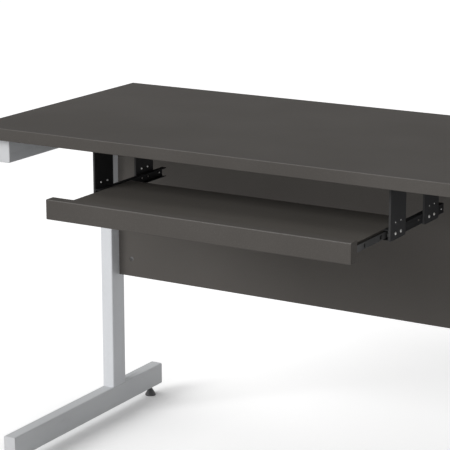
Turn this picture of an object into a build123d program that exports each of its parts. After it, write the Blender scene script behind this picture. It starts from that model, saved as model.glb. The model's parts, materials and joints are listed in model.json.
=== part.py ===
from build123d import *
import os

# Computer desk with a pull-out keyboard tray, in millimetres.
# +X is to the user's right, +Y away from the user, +Z up, and the floor is at zero.
# The tray is modelled pulled out, and the origin is on the floor, under the middle of the outline.

# Desktop
desk_width = 1200.0
desk_depth = 600.0
desk_height = 745.0
top_thickness = 25.0
edge_band = 2.0
edge_round = 1.5

# The largest share of a wall that a round or bevel on its edge may take
round_share = 0.75

# Bevel round the heads of screws and bolts
head_bevel = 1.0

# Leg frames: a foot, an upright and a top arm in rectangular tube
leg_inset = 48.5
tube_width = 30.0
tube_wall = 2.0
tube_round = 3.0
foot_height = 50.0
foot_inset = 8.0
arm_height = 50.0
arm_inset = 18.0
upright_depth = 50.0
upright_setback = 385.5
ground_gap = 24.0

# Plastic caps in the tube ends
cap_flange = 3.0
cap_bevel = 1.0
cap_plug = 14.0
cap_wall = 2.0
cap_clearance = 0.2

# Levelling glides and the nuts that they turn in
glide_inset = 29.0
glide_diameter = 25.0
glide_rim = 3.0
glide_cone = 12.0
glide_neck = 11.0
glide_bevel = 0.8
stem_diameter = 8.0
stem_length = 42.0
stem_socket = 9.0
stem_lead = 1.0
stem_clearance = 0.1
glide_nut_diameter = 15.0
glide_nut_height = 9.0

# Bolts from the arms into inserts in the desktop
top_bolt_count = 3
top_bolt_margin = 60.0
top_bolt_diameter = 6.0
top_bolt_reach = 15.0
top_bolt_head_diameter = 11.0
top_bolt_head_height = 3.5
top_insert_diameter = 10.0
top_insert_length = 13.0
driver_hole = 14.0
bolt_clearance = 0.25
thread_clearance = 0.05

# Modesty panel, bolted between the uprights
panel_thickness = 18.0
panel_inset = 2.0
panel_height = 382.0
panel_edge_band = 1.0
panel_bolt_low = 40.0
panel_bolt_high = 96.0
panel_bolt_diameter = 6.0
panel_bolt_head_diameter = 10.0
panel_bolt_head_height = 3.2
panel_bolt_end = 7.0
barrel_inset = 34.0
barrel_diameter = 10.0
barrel_length = 15.0
barrel_recess = 0.5

# Keyboard tray
tray_out = 135.0
tray_travel = 187.0
closed_setback = 14.0
keyboard_gap = 87.5
board_thickness = 18.0
board_depth = 245.0
tray_edge_band = 1.0
rail_length = 660.0
rail_thickness = 25.0
rail_height = 40.0
rail_lip = 13.3
rail_round = 2.0

# Drop brackets between the desktop and the slides
bracket_gap = 2.0
bracket_pitch = 150.5
bracket_width = 66.0
bracket_thickness = 4.0
bracket_flange = 42.0
bracket_bend = 4.0
bracket_skirt = 2.0
bracket_corner = 3.0
bracket_screw_diameter = 4.5
bracket_screw_reach = 16.0
bracket_screw_head_diameter = 9.0
bracket_screw_head_height = 3.0
bracket_screw_spacing = 38.0
slide_hole_spacing = 23.0
slide_hole_rise = 21.0
rivet_diameter = 2.4
rivet_head_diameter = 3.6
rivet_head_height = 1.0
rivet_bevel = 0.7

# Ball-bearing slides, one on each side of the tray
slide_space = 12.7
slide_height = 20.0
slide_length = 250.0
slide_wall = 1.0
slide_bend = 1.2
inner_length = 242.0
inner_start = 1.0
inner_slot_setback = 50.5
inner_slot_width = 5.0
inner_slot_height = 8.0
ball_diameter = 3.0
ball_clearance = 0.25
ball_offset = 8.8
lip_overlap = 0.8
cage_length = 78.0
cage_margin = 3.0
cage_thickness = 0.7
cage_stand = 0.6
cage_edge = 0.8
cage_hole_clearance = 0.15
balls_per_row = 4
cage_stop_length = 1.5
cage_stop_height = 6.0
slide_bolt_diameter = 4.0
slide_bolt_head_diameter = 7.0
slide_bolt_head_height = 2.4
slide_spare_hole = 4.4
slide_spare_slot = 9.0
slide_spare_setback = 16.5
stop_rivet_margin = 11.5
web_groove_rise = 4.2
web_groove_width = 3.0
web_groove_depth = 0.5
tray_screw_count = 3
tray_screw_margin = 8.0
tray_screw_rear = 14.0
tray_screw_diameter = 3.5
tray_screw_reach = 14.0
tray_screw_head_diameter = 6.6
tray_screw_head_height = 2.0
tray_screw_access = 8.4

# Dowels and cam locks between the tray board and the rail
dowel_diameter = 8.0
dowel_length = 30.0
dowel_margin = 40.0
cam_count = 3
cam_margin = 90.0
cam_diameter = 15.0
cam_depth = 12.5
cam_inset = 24.0
cam_pin_diameter = 6.0
cam_pin_seat = 12.0

# Places that follow from the sizes above
tray_reach = tray_out - closed_setback
desk_front = (tray_reach - desk_depth) / 2
desk_rear = desk_front + desk_depth
underside = desk_height - top_thickness
leg_outer = desk_width / 2 - leg_inset
leg_inner = leg_outer - tube_width
leg_centre = leg_outer - tube_width / 2
foot_top = ground_gap + foot_height
arm_bottom = underside - arm_height
upright_front = desk_front + upright_setback
upright_rear = upright_front + upright_depth
tube_bore_round = max(tube_round - tube_wall, tube_wall / 2)
panel_front = upright_rear - panel_inset - panel_thickness
panel_middle = panel_front + panel_thickness / 2
panel_bottom = underside - panel_height
rail_front = desk_front - tray_reach
rail_back = rail_front + rail_thickness
board_rear = rail_back + board_depth
board_top = underside - keyboard_gap
board_bottom = board_top - board_thickness
slide_level = board_top - board_thickness / 2
rail_top = board_top + rail_lip
bracket_outer = rail_length / 2
bracket_inner = bracket_outer - bracket_thickness
bracket_front = desk_front + closed_setback + rail_thickness + bracket_gap
bracket_bottom = slide_level - slide_height / 2 - bracket_skirt
board_half = bracket_inner - slide_space
slide_front = bracket_front
inner_front = rail_back + inner_start
slide_rear = slide_front + slide_length
cage_front = slide_front + cage_margin + (tray_travel - tray_out) / 2

# The slide's section: heights are measured from its middle line
outer_bore = slide_height / 2 - slide_wall
ball_height = outer_bore - ball_clearance - ball_diameter / 2
inner_half = ball_height - ball_diameter / 2 - ball_clearance
outer_lip = ball_height + lip_overlap
inner_lip = ball_height - lip_overlap
lip_stand = ((ball_diameter / 2) ** 2 - lip_overlap**2) ** 0.5 + ball_clearance

sides = {"left": -1, "right": 1}
ends = {"front": 1, "rear": -1}


def keep(part, label):
    part.label = label
    export_step(part, f"parts/{label}.step")


def spread(first, last, count):
    step = (last - first) / (count - 1)
    return [first + step * index for index in range(count)]


os.makedirs("parts", exist_ok=True)

# Points that holes share with the fasteners that go through them
top_bolt_points = [
    (side * leg_centre, y)
    for side in sides.values()
    for y in spread(
        desk_front + arm_inset + top_bolt_margin,
        desk_rear - arm_inset - top_bolt_margin,
        top_bolt_count,
    )
]
bracket_fronts = {"front": bracket_front, "rear": bracket_front + bracket_pitch}
bracket_screw_x = (bracket_outer + bracket_inner + bracket_flange) / 2
bracket_screw_points = [
    (side * bracket_screw_x, front + bracket_width / 2 + shift)
    for side in sides.values()
    for front in bracket_fronts.values()
    for shift in (-bracket_screw_spacing / 2, bracket_screw_spacing / 2)
]
slide_bolt_ys = [
    front + bracket_width / 2 + shift
    for front in bracket_fronts.values()
    for shift in (-slide_hole_spacing / 2, slide_hole_spacing / 2)
]
slide_bolt_points = [(y, slide_level) for y in slide_bolt_ys]
rivet_points = [(y, slide_level + slide_hole_rise) for y in slide_bolt_ys]
panel_bolt_points = [
    (panel_middle, panel_bottom + panel_bolt_low),
    (panel_middle, underside - panel_bolt_high),
]
tray_screw_ys = spread(
    inner_front + tray_screw_margin,
    inner_front + inner_length - tray_screw_rear,
    tray_screw_count,
)
tray_screw_points = [(y, slide_level) for y in tray_screw_ys]
dowel_points = [
    (side * (board_half - dowel_margin), slide_level) for side in sides.values()
]
cam_xs = spread(cam_margin - board_half, board_half - cam_margin, cam_count)
cam_pin_points = [(x, slide_level) for x in cam_xs]
cam_points = [(x, rail_back + cam_inset) for x in cam_xs]


# Desktop: a plain board with an edge strip glued to each side

with BuildPart() as desktop_board:
    with BuildSketch(Plane.XY.offset(underside)):
        with Locations((0, (desk_front + desk_rear) / 2)):
            Rectangle(desk_width - 2 * edge_band, desk_depth - 2 * edge_band)
    extrude(amount=top_thickness)
    with BuildSketch(Plane.XY.offset(underside)):
        with Locations(*top_bolt_points):
            Circle(top_insert_diameter / 2 + thread_clearance)
    extrude(amount=top_insert_length, mode=Mode.SUBTRACT)
    with BuildSketch(Plane.XY.offset(underside)):
        with Locations(*top_bolt_points):
            Circle(top_bolt_diameter / 2 + bolt_clearance)
    extrude(amount=top_bolt_reach, mode=Mode.SUBTRACT)
    with BuildSketch(Plane.XY.offset(underside)):
        with Locations(*bracket_screw_points):
            Circle(bracket_screw_diameter / 2 + thread_clearance)
    extrude(amount=bracket_screw_reach, mode=Mode.SUBTRACT)
keep(desktop_board.part, "desktop_board")

for end, inward in ends.items():
    face_y = desk_front if end == "front" else desk_rear
    with BuildPart() as long_edge:
        with BuildSketch(Plane.XZ.offset(-face_y)):
            with Locations((0, underside + top_thickness / 2)):
                Rectangle(desk_width, top_thickness)
        extrude(amount=-inward * edge_band)
        outside = long_edge.faces().sort_by(Axis.Y)[0 if inward > 0 else -1]
        fillet(outside.edges(), min(edge_round, round_share * edge_band))
    keep(long_edge.part, f"desktop_{end}_edge")

for hand, side in sides.items():
    with BuildPart() as short_edge:
        with BuildSketch(Plane.YZ.offset(side * desk_width / 2)):
            with Locations(((desk_front + desk_rear) / 2, underside + top_thickness / 2)):
                Rectangle(desk_depth - 2 * edge_band, top_thickness)
        extrude(amount=-side * edge_band)
        outside = short_edge.faces().sort_by(Axis.X)[0 if side < 0 else -1]
        fillet(outside.edges().filter_by(Axis.Y), min(edge_round, round_share * edge_band))
    keep(short_edge.part, f"desktop_{hand}_edge")


# Leg frames


def tube_section(depth):
    RectangleRounded(tube_width, depth, tube_round)
    RectangleRounded(
        tube_width - 2 * tube_wall,
        depth - 2 * tube_wall,
        tube_bore_round,
        mode=Mode.SUBTRACT,
    )


def end_cap(label, x, z, height, tip_y, inward):
    plug_width = tube_width - 2 * (tube_wall + cap_clearance)
    plug_height = height - 2 * (tube_wall + cap_clearance)
    with BuildPart() as cap:
        with BuildSketch(Plane.XZ.offset(-tip_y)):
            with Locations((x, z)):
                RectangleRounded(tube_width, height, tube_round)
        extrude(amount=-inward * cap_flange)
        outside = cap.faces().sort_by(Axis.Y)[0 if inward > 0 else -1]
        chamfer(outside.edges(), min(cap_bevel, round_share * cap_flange))
        with BuildSketch(Plane.XZ.offset(-tip_y - inward * cap_flange)):
            with Locations((x, z)):
                RectangleRounded(plug_width, plug_height, tube_bore_round)
                Rectangle(plug_width - 2 * cap_wall, plug_height - 2 * cap_wall, mode=Mode.SUBTRACT)
        extrude(amount=-inward * cap_plug)
    keep(cap.part, label)


foot_ys = {"front": desk_front + foot_inset, "rear": desk_rear - foot_inset}
arm_ys = {"front": desk_front + arm_inset, "rear": desk_rear - arm_inset}
glide_ys = {end: foot_ys[end] + inward * glide_inset for end, inward in ends.items()}

for hand, side in sides.items():
    with BuildPart() as foot:
        with BuildSketch(Plane.XZ.offset(-foot_ys["front"] - cap_flange)):
            with Locations((side * leg_centre, ground_gap + foot_height / 2)):
                tube_section(foot_height)
        extrude(amount=-(foot_ys["rear"] - foot_ys["front"] - 2 * cap_flange))
        with BuildSketch(Plane.XY.offset(ground_gap)):
            with Locations(*[(side * leg_centre, y) for y in glide_ys.values()]):
                Circle(stem_diameter / 2 + bolt_clearance)
        extrude(amount=tube_wall, mode=Mode.SUBTRACT)
    keep(foot.part, f"{hand}_foot")

    with BuildPart() as upright:
        with BuildSketch(Plane.XY.offset(foot_top)):
            with Locations((side * leg_centre, (upright_front + upright_rear) / 2)):
                tube_section(upright_depth)
        extrude(amount=arm_bottom - foot_top)
        with BuildSketch(Plane.YZ.offset(side * leg_inner)):
            with Locations(*panel_bolt_points):
                Circle(panel_bolt_diameter / 2 + bolt_clearance)
        extrude(amount=side * tube_width, mode=Mode.SUBTRACT)
    keep(upright.part, f"{hand}_upright")

    with BuildPart() as arm:
        with BuildSketch(Plane.XZ.offset(-arm_ys["front"] - cap_flange)):
            with Locations((side * leg_centre, underside - arm_height / 2)):
                tube_section(arm_height)
        extrude(amount=-(arm_ys["rear"] - arm_ys["front"] - 2 * cap_flange))
        arm_points = [point for point in top_bolt_points if point[0] * side > 0]
        with BuildSketch(Plane.XY.offset(underside - tube_wall)):
            with Locations(*arm_points):
                Circle(top_bolt_diameter / 2 + bolt_clearance)
        extrude(amount=tube_wall, mode=Mode.SUBTRACT)
        with BuildSketch(Plane.XY.offset(arm_bottom)):
            with Locations(*arm_points):
                Circle(driver_hole / 2)
        extrude(amount=tube_wall, mode=Mode.SUBTRACT)
    keep(arm.part, f"{hand}_top_arm")

    for end, inward in ends.items():
        foot_middle = ground_gap + foot_height / 2
        arm_middle = underside - arm_height / 2
        end_cap(f"{hand}_foot_{end}_cap", side * leg_centre, foot_middle, foot_height, foot_ys[end], inward)
        end_cap(f"{hand}_arm_{end}_cap", side * leg_centre, arm_middle, arm_height, arm_ys[end], inward)

    with BuildPart() as glide_nuts:
        with BuildSketch(Plane.XY.offset(ground_gap + tube_wall)):
            with Locations(*[(side * leg_centre, y) for y in glide_ys.values()]):
                RegularPolygon(glide_nut_diameter / 2, 6)
                Circle(stem_diameter / 2 + stem_clearance, mode=Mode.SUBTRACT)
        extrude(amount=glide_nut_height)
    keep(glide_nuts.part, f"{hand}_glide_nuts")


# Levelling glides: a plastic cone with a threaded stem in its top

glide_top = glide_rim + glide_cone
stem_bottom = glide_top - stem_socket

for end, y in glide_ys.items():
    for hand, side in sides.items():
        axis_point = (side * leg_centre, y)
        with BuildPart() as glide_base:
            with BuildSketch(Plane.XZ.offset(-y)):
                with BuildLine(Location((side * leg_centre, 0))):
                    Polyline(
                        (0, 0),
                        (glide_diameter / 2, 0),
                        (glide_diameter / 2, glide_rim),
                        (glide_neck / 2, glide_top),
                        (0, glide_top),
                        close=True,
                    )
                make_face()
            revolve(axis=Axis((*axis_point, 0), (0, 0, 1)))
            chamfer(
                glide_base.edges().filter_by(GeomType.CIRCLE).group_by(Axis.Z)[1],
                min(glide_bevel, round_share * glide_rim),
            )
            with BuildSketch(Plane.XY.offset(stem_bottom)):
                with Locations(axis_point):
                    Circle(stem_diameter / 2)
            extrude(amount=stem_socket, mode=Mode.SUBTRACT)
        keep(glide_base.part, f"{end}_{hand}_glide_base")

        with BuildPart() as glide_stem:
            with BuildSketch(Plane.XY.offset(stem_bottom)):
                with Locations(axis_point):
                    Circle(stem_diameter / 2)
            extrude(amount=stem_length)
            tip = glide_stem.faces().sort_by(Axis.Z)[-1]
            chamfer(tip.edges(), stem_lead)
        keep(glide_stem.part, f"{end}_{hand}_glide_stem")


# Bolts and inserts that hold the desktop on the arms

with BuildPart() as desktop_bolts:
    seat = underside - tube_wall
    with BuildSketch(Plane.XY.offset(seat - top_bolt_head_height)):
        with Locations(*top_bolt_points):
            Circle(top_bolt_head_diameter / 2)
    extrude(amount=top_bolt_head_height)
    chamfer(
        desktop_bolts.edges().group_by(Axis.Z)[0],
        min(head_bevel, round_share * top_bolt_head_height),
    )
    with BuildSketch(Plane.XY.offset(seat)):
        with Locations(*top_bolt_points):
            Circle(top_bolt_diameter / 2)
    extrude(amount=tube_wall + top_bolt_reach)
keep(desktop_bolts.part, "desktop_bolts")

with BuildPart() as desktop_inserts:
    with BuildSketch(Plane.XY.offset(underside)):
        with Locations(*top_bolt_points):
            Circle(top_insert_diameter / 2)
            Circle(top_bolt_diameter / 2 + thread_clearance, mode=Mode.SUBTRACT)
    extrude(amount=top_insert_length)
keep(desktop_inserts.part, "desktop_inserts")


# Modesty panel

panel_nut_points = [
    (side * (leg_inner - barrel_inset), z)
    for side in sides.values()
    for _, z in panel_bolt_points
]

with BuildPart() as modesty_panel:
    with BuildSketch(Plane.XZ.offset(-panel_front)):
        with Locations((0, (panel_bottom + panel_edge_band + underside) / 2)):
            Rectangle(2 * leg_inner, panel_height - panel_edge_band)
    extrude(amount=-panel_thickness)
    for side in sides.values():
        with BuildSketch(Plane.YZ.offset(side * leg_inner)):
            with Locations(*panel_bolt_points):
                Circle(panel_bolt_diameter / 2 + bolt_clearance)
        extrude(amount=-side * (barrel_inset + panel_bolt_end), mode=Mode.SUBTRACT)
    with BuildSketch(Plane.XZ.offset(-panel_front)):
        with Locations(*panel_nut_points):
            Circle(barrel_diameter / 2 + thread_clearance)
    extrude(amount=-(barrel_recess + barrel_length), mode=Mode.SUBTRACT)
keep(modesty_panel.part, "modesty_panel")

with BuildPart() as panel_bottom_edge:
    with BuildSketch(Plane.XY.offset(panel_bottom)):
        with Locations((0, panel_middle)):
            Rectangle(2 * leg_inner, panel_thickness)
    extrude(amount=panel_edge_band)
keep(panel_bottom_edge.part, "panel_bottom_edge")

with BuildPart() as panel_bolts:
    for side in sides.values():
        with BuildSketch(Plane.YZ.offset(side * leg_outer)):
            with Locations(*panel_bolt_points):
                Circle(panel_bolt_head_diameter / 2)
        extrude(amount=side * panel_bolt_head_height)
        head_faces = panel_bolts.faces().group_by(Axis.X)[0 if side < 0 else -1]
        chamfer(head_faces.edges(), min(head_bevel, round_share * panel_bolt_head_height))
        with BuildSketch(Plane.YZ.offset(side * leg_outer)):
            with Locations(*panel_bolt_points):
                Circle(panel_bolt_diameter / 2)
        extrude(amount=-side * (tube_width + barrel_inset + panel_bolt_end))
keep(panel_bolts.part, "panel_bolts")

with BuildPart() as panel_barrel_nuts:
    with BuildSketch(Plane.XZ.offset(-panel_front - barrel_recess)):
        with Locations(*panel_nut_points):
            Circle(barrel_diameter / 2)
    extrude(amount=-barrel_length)
    for side in sides.values():
        with BuildSketch(Plane.YZ.offset(side * leg_inner)):
            with Locations(*panel_bolt_points):
                Circle(panel_bolt_diameter / 2 + thread_clearance)
        extrude(amount=-side * (barrel_inset + barrel_diameter), mode=Mode.SUBTRACT)
keep(panel_barrel_nuts.part, "panel_barrel_nuts")


# Drop brackets: bent plate, with the flange turned outwards under the desktop

for end, front in bracket_fronts.items():
    own_ys = [front + bracket_width / 2 + s * slide_hole_spacing / 2 for s in sides.values()]
    for hand, side in sides.items():
        with BuildPart() as bracket:
            with BuildSketch(Plane.XZ.offset(-front)):
                with BuildLine():
                    FilletPolyline(
                        (side * (bracket_inner + bracket_thickness / 2), bracket_bottom),
                        (side * (bracket_inner + bracket_thickness / 2), underside - bracket_thickness / 2),
                        (side * (bracket_inner + bracket_flange), underside - bracket_thickness / 2),
                        radius=bracket_bend + bracket_thickness / 2,
                    )
                trace(line_width=bracket_thickness)
            extrude(amount=-bracket_width)
            fillet(
                bracket.edges().filter_by(Axis.X).group_by(Axis.Z)[0],
                bracket_corner,
            )
            with BuildSketch(Plane.YZ.offset(side * bracket_inner)):
                with Locations(*[(y, slide_level) for y in own_ys]):
                    Circle(slide_bolt_diameter / 2 + bolt_clearance)
                with Locations(*[(y, slide_level + slide_hole_rise) for y in own_ys]):
                    Circle(rivet_diameter / 2)
            extrude(amount=side * bracket_thickness, mode=Mode.SUBTRACT)
            with BuildSketch(Plane.XY.offset(underside - bracket_thickness)):
                with Locations(*bracket_screw_points):
                    Circle(bracket_screw_diameter / 2 + bolt_clearance)
            extrude(amount=bracket_thickness, mode=Mode.SUBTRACT)
        keep(bracket.part, f"{end}_{hand}_bracket")

with BuildPart() as bracket_screws:
    seat = underside - bracket_thickness
    with BuildSketch(Plane.XY.offset(seat - bracket_screw_head_height)):
        with Locations(*bracket_screw_points):
            Circle(bracket_screw_head_diameter / 2)
    extrude(amount=bracket_screw_head_height)
    chamfer(
        bracket_screws.edges().group_by(Axis.Z)[0],
        min(head_bevel, round_share * bracket_screw_head_height),
    )
    with BuildSketch(Plane.XY.offset(seat)):
        with Locations(*bracket_screw_points):
            Circle(bracket_screw_diameter / 2)
    extrude(amount=bracket_thickness + bracket_screw_reach)
keep(bracket_screws.part, "bracket_screws")


def rivets(label, points, inner, outer):
    with BuildPart() as made:
        for side in sides.values():
            for face_x, way in ((side * inner, -side), (side * outer, side)):
                with BuildSketch(Plane.YZ.offset(face_x)):
                    with Locations(*points):
                        Circle(rivet_head_diameter / 2)
                extrude(amount=way * rivet_head_height)
                heads = made.faces(Select.LAST).group_by(Axis.X)[0 if way < 0 else -1]
                chamfer(heads.edges(), min(rivet_bevel, round_share * rivet_head_height))
            with BuildSketch(Plane.YZ.offset(side * inner)):
                with Locations(*points):
                    Circle(rivet_diameter / 2)
            extrude(amount=side * (outer - inner))
    keep(made.part, label)


rivets("bracket_rivets", rivet_points, bracket_inner, bracket_outer)

with BuildPart() as slide_bolts:
    for side in sides.values():
        with BuildSketch(Plane.YZ.offset(side * bracket_outer)):
            with Locations(*slide_bolt_points):
                Circle(slide_bolt_head_diameter / 2)
        extrude(amount=side * slide_bolt_head_height)
        head_faces = slide_bolts.faces().group_by(Axis.X)[0 if side < 0 else -1]
        chamfer(head_faces.edges(), min(head_bevel, round_share * slide_bolt_head_height))
        with BuildSketch(Plane.YZ.offset(side * bracket_outer)):
            with Locations(*slide_bolt_points):
                Circle(slide_bolt_diameter / 2)
        extrude(amount=-side * (bracket_thickness + slide_wall))
keep(slide_bolts.part, "slide_bolts")


# Ball-bearing slides: a channel on the brackets and a box section on the tray, with caged balls
# between the channel's lips and the edges of the box's outer wall

outer_flange = ball_offset + lip_stand + slide_wall
inner_web = ball_offset - lip_stand - slide_wall / 2
cage_web = slide_wall + cage_stand + cage_thickness / 2
cage_tip = ball_offset + ball_diameter / 2 + cage_hole_clearance + cage_edge
ball_ys = spread(
    cage_front + ball_diameter,
    cage_front + cage_length - ball_diameter,
    balls_per_row,
)
slide_spare_y = bracket_fronts["rear"] - slide_spare_setback
stop_rivet_points = [(slide_rear - stop_rivet_margin, slide_level)]

for hand, side in sides.items():

    def at(inset, height):
        return (side * (bracket_inner - inset), slide_level + height)

    with BuildPart() as slide_outer:
        with BuildSketch(Plane.XZ.offset(-slide_front)):
            with BuildLine():
                FilletPolyline(
                    at(outer_flange - slide_wall / 2, outer_lip),
                    at(outer_flange - slide_wall / 2, outer_bore + slide_wall / 2),
                    at(slide_wall / 2, outer_bore + slide_wall / 2),
                    at(slide_wall / 2, -outer_bore - slide_wall / 2),
                    at(outer_flange - slide_wall / 2, -outer_bore - slide_wall / 2),
                    at(outer_flange - slide_wall / 2, -outer_lip),
                    radius=slide_bend,
                )
            trace(line_width=slide_wall)
        extrude(amount=-slide_length)
        with BuildSketch(Plane.YZ.offset(side * bracket_inner)):
            with Locations(*slide_bolt_points):
                Circle(slide_bolt_diameter / 2 + thread_clearance)
            with Locations((slide_spare_y, slide_level)):
                SlotOverall(slide_spare_slot, slide_spare_hole)
            with Locations(*stop_rivet_points):
                Circle(rivet_diameter / 2)
        extrude(amount=-side * slide_wall, mode=Mode.SUBTRACT)
        with BuildSketch(Plane.XZ.offset(-slide_front)):
            with Locations(*[at(web_groove_depth / 2, way * web_groove_rise) for way in sides.values()]):
                Rectangle(web_groove_depth, web_groove_width)
        extrude(amount=-slide_length, mode=Mode.SUBTRACT)
        with BuildSketch(Plane.YZ.offset(side * (bracket_inner - slide_wall))):
            with Locations((slide_front + cage_stop_length / 2, slide_level)):
                Rectangle(cage_stop_length, cage_stop_height)
        extrude(amount=-side * (cage_stand + cage_thickness + ball_clearance))
    keep(slide_outer.part, f"{hand}_slide_outer")

    with BuildPart() as slide_inner:
        with BuildSketch(Plane.XZ.offset(-inner_front)):
            with BuildLine():
                Line(at(inner_web, inner_lip), at(inner_web, -inner_lip))
                FilletPolyline(
                    at(inner_web, inner_half - slide_wall / 2),
                    at(slide_space - slide_wall / 2, inner_half - slide_wall / 2),
                    at(slide_space - slide_wall / 2, slide_wall / 2 - inner_half),
                    at(inner_web, slide_wall / 2 - inner_half),
                    radius=slide_bend,
                )
            trace(line_width=slide_wall)
        extrude(amount=-inner_length)
        with BuildSketch(Plane.YZ.offset(side * (bracket_inner - inner_web + slide_wall / 2))):
            with Locations(*tray_screw_points):
                Circle(tray_screw_access / 2)
            with Locations((inner_front + inner_slot_setback, slide_level)):
                SlotOverall(inner_slot_height, inner_slot_width, rotation=90)
        extrude(amount=-side * slide_wall, mode=Mode.SUBTRACT)
        with BuildSketch(Plane.YZ.offset(side * board_half)):
            with Locations(*tray_screw_points):
                Circle(tray_screw_diameter / 2 + bolt_clearance)
        extrude(amount=side * slide_wall, mode=Mode.SUBTRACT)
    keep(slide_inner.part, f"{hand}_slide_inner")

    with BuildPart() as ball_cage:
        with BuildSketch(Plane.XZ.offset(-cage_front)):
            with BuildLine():
                FilletPolyline(
                    at(cage_tip, ball_height),
                    at(cage_web, ball_height),
                    at(cage_web, -ball_height),
                    at(cage_tip, -ball_height),
                    radius=slide_bend,
                )
            trace(line_width=cage_thickness)
        extrude(amount=-cage_length)
        with BuildSketch(Plane.XY.offset(slide_level - slide_height / 2)):
            with Locations(*[(side * (bracket_inner - ball_offset), y) for y in ball_ys]):
                Circle(ball_diameter / 2 + cage_hole_clearance)
        extrude(amount=slide_height, mode=Mode.SUBTRACT)
    keep(ball_cage.part, f"{hand}_ball_cage")

    with BuildPart() as cage_balls:
        for y in ball_ys:
            with Locations(
                (side * (bracket_inner - ball_offset), y, slide_level + ball_height),
                (side * (bracket_inner - ball_offset), y, slide_level - ball_height),
            ):
                Sphere(ball_diameter / 2)
    keep(cage_balls.part, f"{hand}_cage_balls")

rivets("slide_stop_rivets", stop_rivet_points, bracket_inner - slide_wall, bracket_inner)


# Keyboard tray

with BuildPart() as tray_board:
    with BuildSketch(Plane.XY.offset(board_bottom)):
        with Locations((0, (rail_back + board_rear - tray_edge_band) / 2)):
            Rectangle(2 * board_half, board_depth - tray_edge_band)
    extrude(amount=board_thickness)
    with BuildSketch(Plane.XZ.offset(-rail_back)):
        with Locations(*dowel_points):
            Circle(dowel_diameter / 2 + thread_clearance)
    extrude(amount=-dowel_length / 2, mode=Mode.SUBTRACT)
    with BuildSketch(Plane.XZ.offset(-rail_back)):
        with Locations(*cam_pin_points):
            Circle(cam_pin_diameter / 2 + bolt_clearance)
    extrude(amount=-cam_inset, mode=Mode.SUBTRACT)
    with BuildSketch(Plane.XY.offset(board_bottom)):
        with Locations(*cam_points):
            Circle(cam_diameter / 2 + thread_clearance)
    extrude(amount=cam_depth, mode=Mode.SUBTRACT)
    for side in sides.values():
        with BuildSketch(Plane.YZ.offset(side * board_half)):
            with Locations(*tray_screw_points):
                Circle(tray_screw_diameter / 2 + thread_clearance)
        extrude(amount=-side * tray_screw_reach, mode=Mode.SUBTRACT)
keep(tray_board.part, "tray_board")

with BuildPart() as tray_rear_edge:
    with BuildSketch(Plane.XZ.offset(-board_rear)):
        with Locations((0, slide_level)):
            Rectangle(2 * board_half, board_thickness)
    extrude(amount=tray_edge_band)
keep(tray_rear_edge.part, "tray_rear_edge")

with BuildPart() as tray_front_rail:
    with BuildSketch(Plane.XZ.offset(-rail_front)):
        with Locations((0, rail_top - rail_height / 2)):
            Rectangle(rail_length, rail_height)
    extrude(amount=-rail_thickness)
    fillet(tray_front_rail.edges().filter_by(Axis.X), rail_round)
    with BuildSketch(Plane.XZ.offset(-rail_back)):
        with Locations(*dowel_points):
            Circle(dowel_diameter / 2 + thread_clearance)
    extrude(amount=dowel_length / 2, mode=Mode.SUBTRACT)
    with BuildSketch(Plane.XZ.offset(-rail_back)):
        with Locations(*cam_pin_points):
            Circle(cam_pin_diameter / 2 + thread_clearance)
    extrude(amount=cam_pin_seat, mode=Mode.SUBTRACT)
keep(tray_front_rail.part, "tray_front_rail")

with BuildPart() as rail_dowels:
    with BuildSketch(Plane.XZ.offset(-rail_back)):
        with Locations(*dowel_points):
            Circle(dowel_diameter / 2)
    extrude(amount=dowel_length / 2, both=True)
keep(rail_dowels.part, "rail_dowels")

with BuildPart() as rail_cams:
    with BuildSketch(Plane.XY.offset(board_bottom)):
        with Locations(*cam_points):
            Circle(cam_diameter / 2)
    extrude(amount=cam_depth)
    with BuildSketch(Plane.XZ.offset(-rail_back)):
        with Locations(*cam_pin_points):
            Circle(cam_pin_diameter / 2 + bolt_clearance)
    extrude(amount=-cam_inset, mode=Mode.SUBTRACT)
keep(rail_cams.part, "rail_cams")

with BuildPart() as rail_cam_pins:
    with BuildSketch(Plane.XZ.offset(cam_pin_seat - rail_back)):
        with Locations(*cam_pin_points):
            Circle(cam_pin_diameter / 2)
    extrude(amount=-(cam_pin_seat + cam_inset))
keep(rail_cam_pins.part, "rail_cam_pins")

with BuildPart() as tray_slide_screws:
    for side in sides.values():
        seat_x = side * (board_half + slide_wall)
        with BuildSketch(Plane.YZ.offset(seat_x)):
            with Locations(*tray_screw_points):
                Circle(tray_screw_head_diameter / 2)
        extrude(amount=side * tray_screw_head_height)
        head_faces = tray_slide_screws.faces().group_by(Axis.X)[0 if side < 0 else -1]
        chamfer(head_faces.edges(), min(head_bevel, round_share * tray_screw_head_height))
        with BuildSketch(Plane.YZ.offset(seat_x)):
            with Locations(*tray_screw_points):
                Circle(tray_screw_diameter / 2)
        extrude(amount=-side * (slide_wall + tray_screw_reach))
keep(tray_slide_screws.part, "tray_slide_screws")
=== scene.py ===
import json
import math

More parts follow.
